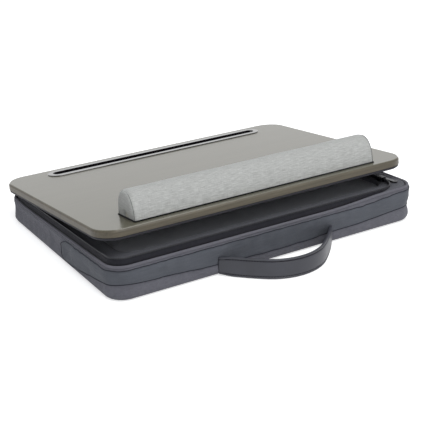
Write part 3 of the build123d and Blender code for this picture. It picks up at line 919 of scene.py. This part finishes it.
REST_HALF = 0.1777
REST_Y = -0.2895
REST_A = 0.022
REST_H = 0.0356
REST_FULLNESS = 2.3
REST_PRESSURE = 3.0
REST_SWELL = 0.0006
REST_ROWS = 26
REST_END_DRAW = 0.0020
REST_BULGE = 0.0026


def rest_section(share):
    """Point of the rest's full arch, from its front foot (0) over the top to its rear foot (1)."""
    angle = pi * share
    power = 2 / REST_FULLNESS
    across = REST_A * abs(cos(angle)) ** power
    return (-across if share < 0.5 else across), REST_H * max(0.0, sin(angle)) ** power


def rest_piece():
    """Woven sleeve over the foam, swollen a little between its seams, with softly turned ends."""
    columns, rows = 120, REST_ROWS
    ends = [0.0, 0.0006, 0.0016, 0.0030, 0.0050]

    def place(i, j):
        step = min(i, columns - i)
        if step < len(ends):
            turned = ends[step]
            x = (REST_HALF - turned) * (-1 if i == step else 1)
        else:
            turned = 1.0
            share = (i - len(ends) + 1) / (columns - 2 * len(ends) + 2)
            x = (2 * share - 1) * (REST_HALF - ends[-1])
        y, z = rest_section(j / rows)
        draw = 0.0022 * (1 - smoothstep(0.0, 0.0032, turned)) + 0.0005
        scale = 1 - draw / REST_H
        soft = 0.0004 * noise.noise(Vector((x * 24, y * 40, z * 40))) * smoothstep(0.0, 0.004, z)
        soft *= smoothstep(0.0, 0.02, REST_HALF - abs(x))
        away = Vector((0, y, z)).normalized()
        spot = Vector((x, y * scale, z * scale)) + away * soft
        return LID @ (spot + Vector((0, REST_Y, 0))), (x, 0.09 * j / rows)

    bm = sheet(columns, rows, place)
    held = [vert for vert in bm.verts if abs(vert.co.x) > REST_HALF - 0.0025 or vert.is_boundary]
    swell(bm, held, -REST_PRESSURE, REST_SWELL)
    piece = finish_piece("wrist_rest_sleeve", bm, "linen", "lid", ("wrist_rest_cover",), outward=False)
    return soften(piece)


def rest_end_piece(side):
    """Woven end of the rest, a soft pillow that bulges out of its seam."""
    rings = [1.0, 0.975, 0.93, 0.86, 0.76, 0.62, 0.44, 0.24, 0.0]
    middle = 0.012

    def place(i, j):
        y, z = rest_section(j / REST_ROWS)
        near = min(1.0, (1 - rings[i]) / 0.24)
        bulge = REST_BULGE * sqrt(1 - (1 - near) ** 2) * smoothstep(-0.004, middle, z)
        scale = rings[i] * (1 - REST_END_DRAW / REST_H)
        height = middle + (z - middle) * scale if z > middle else z
        height = max(0.0003, height) if i < 8 else middle
        x = side * (REST_HALF - 0.0010 + bulge)
        return LID @ Vector((x, REST_Y + y * scale, height)), (y * scale + 0.5, height)

    bm = sheet(len(rings) - 1, REST_ROWS, place, closed=True)
    name = "left" if side < 0 else "right"
    return finish_piece(f"wrist_rest_{name}_cap", bm, "linen", "lid", (f"wrist_rest_{name}_end",))


def rest_seam(side):
    """Cord sewn round an end of the sleeve, darker than the linen as painted shade in the seam."""
    scale = 1 - 0.0021 / REST_H
    points = []
    for k in range(61):
        y, z = rest_section(k / 60)
        spot = Vector((side * (REST_HALF - 0.0004), REST_Y + y * scale, max(0.0006, z * scale)))
        points.append(LID @ spot)
    name = "wrist_rest_seam_" + ("left" if side < 0 else "right")
    cord_along(name, points, 0.0005, "linen_seam_shade", "lid", closed=False, sides=6)


def rest_foot():
    """Black cord where the sleeve meets the board: painted contact shadow along the rest's foot. Its two ends
    meet at the left front corner.
    """
    corners = [(-1, -1), (1, -1), (1, 1), (-1, 1), (-1, -1)]
    points = []
    for start, end, steps in zip(corners, corners[1:], (1, 12, 90, 12)):
        for k in range(steps):
            x = start[0] + (end[0] - start[0]) * k / steps
            y = start[1] + (end[1] - start[1]) * k / steps
            points.append(LID @ Vector((REST_HALF * x, REST_Y + REST_A * y, 0.0003)))
    # Black backing cloth as painted contact shadow.
    cord_along("wrist_rest_foot_shadow_cord", points + points[:1], 0.0012, "backing", "lid",
               closed=False, sides=6)


rest_piece()
for side in (-1, 1):
    rest_end_piece(side)
    rest_seam(side)
rest_foot()

# Carrying handle

HANDLE_Z = 0.013
HANDLE_HALF_H = 0.013
HANDLE_SEAT = -0.1613
HANDLE_REACH = 0.0564
HANDLE_CREST = -HALF_D - HANDLE_REACH
SHOULDER_X = STRAP_END * 0.52
SHOULDER_Y = -HALF_D - HANDLE_REACH * 0.71
HANDLE_FREE = -0.172
HANDLE_LEAN = 0.0008
GROOVE_UP = 0.0097
GROOVE_OUT = 0.0008
STITCH_OUT = 0.0011


def arc(x, y, r, start, end, count):
    """Points on a circle in plan, from one angle to another."""
    angles = [start + (end - start) * k / count for k in range(count + 1)]
    return [Vector((x + r * cos(angle), y + r * sin(angle), 0)) for angle in angles]


def arc_through(first, middle, last, count):
    """Points on the circle through three points in plan, and the circle's centre."""
    ax, ay = first
    bx, by = middle
    cx, cy = last
    d = 2 * (ax * (by - cy) + bx * (cy - ay) + cx * (ay - by))
    a2, b2, c2 = ax * ax + ay * ay, bx * bx + by * by, cx * cx + cy * cy
    ux = (a2 * (by - cy) + b2 * (cy - ay) + c2 * (ay - by)) / d
    uy = (a2 * (cx - bx) + b2 * (ax - cx) + c2 * (bx - ax)) / d
    r = hypot(ax - ux, ay - uy)
    start = atan2(ay - uy, ax - ux)
    end = atan2(cy - uy, cx - ux)
    mid = atan2(by - uy, bx - ux)
    if not min(start, end) <= mid <= max(start, end):
        if start < end:
            start += 2 * pi
        else:
            end += 2 * pi
    return arc(ux, uy, r, start, end, count), Vector((ux, uy, 0))


def tangent_arc(start, direction, end, count):
    """Points on the arc that leaves start along a direction and ends at end."""
    chord = end - start
    normal = Vector((-direction.y, direction.x, 0))
    k = chord.dot(chord) / (2 * chord.dot(normal))
    centre = start + normal * k
    r = abs(k)
    a0 = atan2(start.y - centre.y, start.x - centre.x)
    a1 = atan2(end.y - centre.y, end.x - centre.x)
    if k > 0 and a1 < a0:
        a1 += 2 * pi
    if k < 0 and a1 > a0:
        a1 -= 2 * pi
    return arc(centre.x, centre.y, r, a0, a1, count)


right_shoulder = Vector((SHOULDER_X, SHOULDER_Y, 0))
crest, crest_centre = arc_through((-SHOULDER_X, SHOULDER_Y), (0, HANDLE_CREST), (SHOULDER_X, SHOULDER_Y), 40)
leaving = across_from(right_shoulder - crest_centre).normalized()
if leaving.x < 0:
    leaving = -leaving
right_arm = tangent_arc(right_shoulder, leaving, Vector((STRAP_END, HANDLE_SEAT, 0)), 26)
left_arm = [Vector((-p.x, p.y, 0)) for p in reversed(right_arm)]
HANDLE_LINE = left_arm[:-1] + crest + right_arm[1:]


def handle_profile():
    """Section of the strap: (across, up), with a groove and a welt along its top and its bottom edge."""
    quarter = [(0.0022, 0.0), (0.0021, 0.0045), (0.0019, 0.0080), (0.0016, 0.0089), (0.0009, 0.0094)]
    quarter += [(0.0007, 0.0098), (0.0010, 0.0102), (0.0017, 0.0110), (0.0018, 0.0118), (0.0013, 0.0126)]
    quarter.append((0.0005, 0.0129))
    upper = quarter + [(-across, up) for across, up in reversed(quarter)]
    lower = [(-across, -up) for across, up in upper[1:-1]]
    return upper + lower


def strap_spot(line, i, across, up):
    """Point of the strap beside its centre line, and its directions: the strap leans over at its crest."""
    along = (line[min(i + 1, len(line) - 1)] - line[max(i - 1, 0)]).normalized()
    side = across_from(along)
    lean = HANDLE_LEAN * sin(pi * i / (len(line) - 1)) * (up / HANDLE_HALF_H)
    return line[i] + side * (across - lean) + Vector((0, 0, HANDLE_Z + up)), side, along


def handle_piece():
    """Strap that bows out of the front wall, tapering to its sewn ends."""
    line = HANDLE_LINE
    profile = handle_profile()
    sides = len(profile)
    run = lengths_along(line)

    def place(i, j):
        across, up = profile[j % sides]
        near = min(run[i], run[-1] - run[i])
        taper = 1.0 - 0.12 * (1 - smoothstep(0.0, 0.02, near))
        return strap_spot(line, i, across, up * taper)[0], (run[i], up)

    bm = sheet(len(line) - 1, sides, place, closed=True)
    fill_holes(bm)
    piece = finish_piece("handle_sleeve", bm, "handle_skin", None, ("handle_cover",))
    return soften(piece)


def handle_stitches():
    """Stitches beside the two grooves of the strap, on both of its faces."""
    line = [spot for spot, along in resample(HANDLE_LINE, 0.0034)]
    spots = []
    for i, centre in enumerate(line):
        if centre.y > HANDLE_FREE:
            continue
        for face in (-1, 1):
            for height in (-GROOVE_UP, GROOVE_UP):
                point, side, along = strap_spot(line, i, face * STITCH_OUT, height)
                spots.append((point, along, side * face))
    return stitches("handle_stitches", spots, 0.0024, 0.0003, "handle_skin", "handle")


def handle_groove_shade(face, height):
    """Dark cord at the bottom of a groove, under its stitches: painted shade in the groove."""
    line = [spot for spot, along in resample(HANDLE_LINE, 0.003)]
    free = [i for i, centre in enumerate(line) if centre.y < HANDLE_FREE]
    points = [strap_spot(line, i, face * GROOVE_OUT, height)[0] for i in free]
    name = f"handle_groove_shade_{'outer' if face < 0 else 'inner'}_{'low' if height < 0 else 'high'}"
    cord_along(name, points, 0.0005, "zip_tape", "handle", closed=False, sides=6)


handle_sleeve = handle_piece()
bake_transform(handle_sleeve)
handle_stitches()
for face in (-1, 1):
    for height in (-GROOVE_UP, GROOVE_UP):
        handle_groove_shade(face, height)

# Rear hinge

HINGE_HALF = 0.191
HINGE_T = 0.0008
HINGE_LOW = 0.0225
HINGE_TOP = 0.0345
HEM_HALF = 0.189
HEM_Z = 0.0245
HEM_STEPS = 105


def rear_face(x, height):
    """Outer face of the rear wall cover, or of the wall's plain outline above the cover."""
    outside = Vector((x, HALF_D + 0.0274, height))
    hit = wall_tree.ray_cast(outside, Vector((0, -1, 0)), 0.04)[0]
    return hit.y if hit else HALF_D


def hinge_piece():
    """Rear fabric from the cushion's wall up to the lid, with a flange sewn under the board."""
    columns = 96

    def centre(x):
        heights = [HINGE_LOW + (HINGE_TOP - HINGE_LOW) * k / 4 for k in range(5)]
        line = [Vector((x, rear_face(x, height) + 0.0007, height)) for height in heights]
        line.append(Vector((x, 0.1638, 0.0372)))
        flange = ((-0.0143, -0.0114), (-0.0120, -0.0106), (-0.0050, -0.0105))
        return line + [LID @ Vector((x, y, z)) for y, z in flange]

    def place(i, j):
        x = HINGE_HALF * (2 * i / columns - 1)
        line = centre(x)
        count = len(line)
        near = j % (2 * count)
        inner = near >= count
        k = 2 * count - 1 - near if inner else near
        along = (line[min(k + 1, count - 1)] - line[max(k - 1, 0)]).normalized()
        away = Vector((1, 0, 0)).cross(along) * (HINGE_T / 2)
        wave = 0.0002 * noise.noise(Vector((x * 40, k * 0.7, 9.0))) * (1 if 1 < k < 6 else 0)
        return line[k] + away * (-1 if inner else 1) + Vector((0, wave, 0)), (x, 0.003 * k)

    bm = sheet(columns, 2 * len(centre(0)), place, closed=True)
    fill_holes(bm)
    return finish_piece("hinge_fabric", bm, "cushion_fabric", None, ("hinge_strip",))


hinge_fabric = hinge_piece()
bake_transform(hinge_fabric)
hem = []
for k in range(HEM_STEPS + 1):
    x = HEM_HALF * (2 * k / HEM_STEPS - 1)
    spot = Vector((x, rear_face(x, HEM_Z) + 0.0012, HEM_Z))
    hem.append((spot, Vector((1, 0, 0)), Vector((0, 1, 0))))
stitches("hinge_stitches", hem, 0.0026, 0.0003, "seam_dark", "base")

# Finishes of the carried-over nodes

for name, material in {
    "tray_board": "board_core",
    "top_laminate": "board_top",
    "phone_slot": "slot_black",
    "slider_body": "slider_metal",
    "pull_tab": "slider_metal",
    "floor_stiffener": "stiffener",
    "wrist_rest_strip": "board_core",
    "wrist_rest_foam": "foam",
    "handle_core": "webbing",
}.items():
    dress(name, material)

# Camera, floor and light

camera_data = bpy.data.cameras.new("camera")
camera_data.lens = 86.87
camera_data.sensor_width = 36.0
camera_data.clip_end = 50.0
camera = bpy.data.objects.new("camera", camera_data)
bpy.context.collection.objects.link(camera)
right = Vector((0.85383, -0.51975, -0.02907))
up = Vector((0.22126, 0.31181, 0.92404))
back = Vector((-0.47120, -0.79539, 0.38123))
turn = Matrix((right, up, back)).transposed().to_4x4()
camera.matrix_world = Matrix.Translation((-0.6663, -1.1387, 0.5478)) @ turn
bpy.context.scene.camera = camera


def white_to_camera(tree):
    """1 for what the camera sees directly or in a reflection, and 0 for the light on surfaces."""
    path = tree.nodes.new("ShaderNodeLightPath")
    seen = sums(tree, "MAXIMUM", path.outputs["Is Camera Ray"], path.outputs["Is Glossy Ray"])
    return sums(tree, "MAXIMUM", seen, path.outputs["Is Transmission Ray"])


world = bpy.data.worlds.new("studio")
bpy.context.scene.world = world
world.use_nodes = True
world_tree = world.node_tree
world_tree.nodes.clear()
out = world_tree.nodes.new("ShaderNodeOutputWorld")
soft = world_tree.nodes.new("ShaderNodeBackground")
soft.inputs["Color"].default_value = (0.95, 0.97, 1.0, 1)
soft.inputs["Strength"].default_value = 0.55
plain = world_tree.nodes.new("ShaderNodeBackground")
plain.inputs["Color"].default_value = (1, 1, 1, 1)
plain.inputs["Strength"].default_value = 1.0
mixer = world_tree.nodes.new("ShaderNodeMixShader")
seen = white_to_camera(world_tree)
world_tree.links.new(seen, mixer.inputs[0])
world_tree.links.new(soft.outputs[0], mixer.inputs[1])
world_tree.links.new(plain.outputs[0], mixer.inputs[2])
world_tree.links.new(mixer.outputs[0], out.inputs["Surface"])

floor_bm = bmesh.new()
bmesh.ops.create_grid(floor_bm, x_segments=2, y_segments=2, size=6.0)
bmesh.ops.translate(floor_bm, verts=floor_bm.verts, vec=(0, 0, -0.0004))
floor_mesh = bpy.data.meshes.new("floor")
floor_bm.to_mesh(floor_mesh)
floor_bm.free()
floor = bpy.data.objects.new("floor", floor_mesh)
bpy.context.collection.objects.link(floor)
tree, shader = new_material("floor_white", (0.86, 0.86, 0.86, 1), 0.9, 0.0)
shader.inputs["Emission Color"].default_value = (1, 1, 1, 1)
seen = white_to_camera(tree)
strength = sums(tree, "MULTIPLY", seen, 0.6)
tree.links.new(strength, shader.inputs["Emission Strength"])
floor_mesh.materials.append(MAT["floor_white"])


def lamp(name, location, target, size, power):
    """Square soft light that faces a target."""
    data = bpy.data.lights.new(name, "AREA")
    data.shape = "SQUARE"
    data.size = size
    data.energy = power
    obj = bpy.data.objects.new(name, data)
    bpy.context.collection.objects.link(obj)
    obj.location = location
    obj.rotation_euler = (Vector(target) - Vector(location)).to_track_quat("-Z", "Y").to_euler()


lamp("overhead", (0.15, -0.75, 1.65), (0, -0.05, 0), 1.3, 15.0)
lamp("front_fill", (0.2, -2.0, 0.7), (0, 0, 0.03), 1.2, 3.0)
bpy.context.scene.view_settings.view_transform = "Standard"
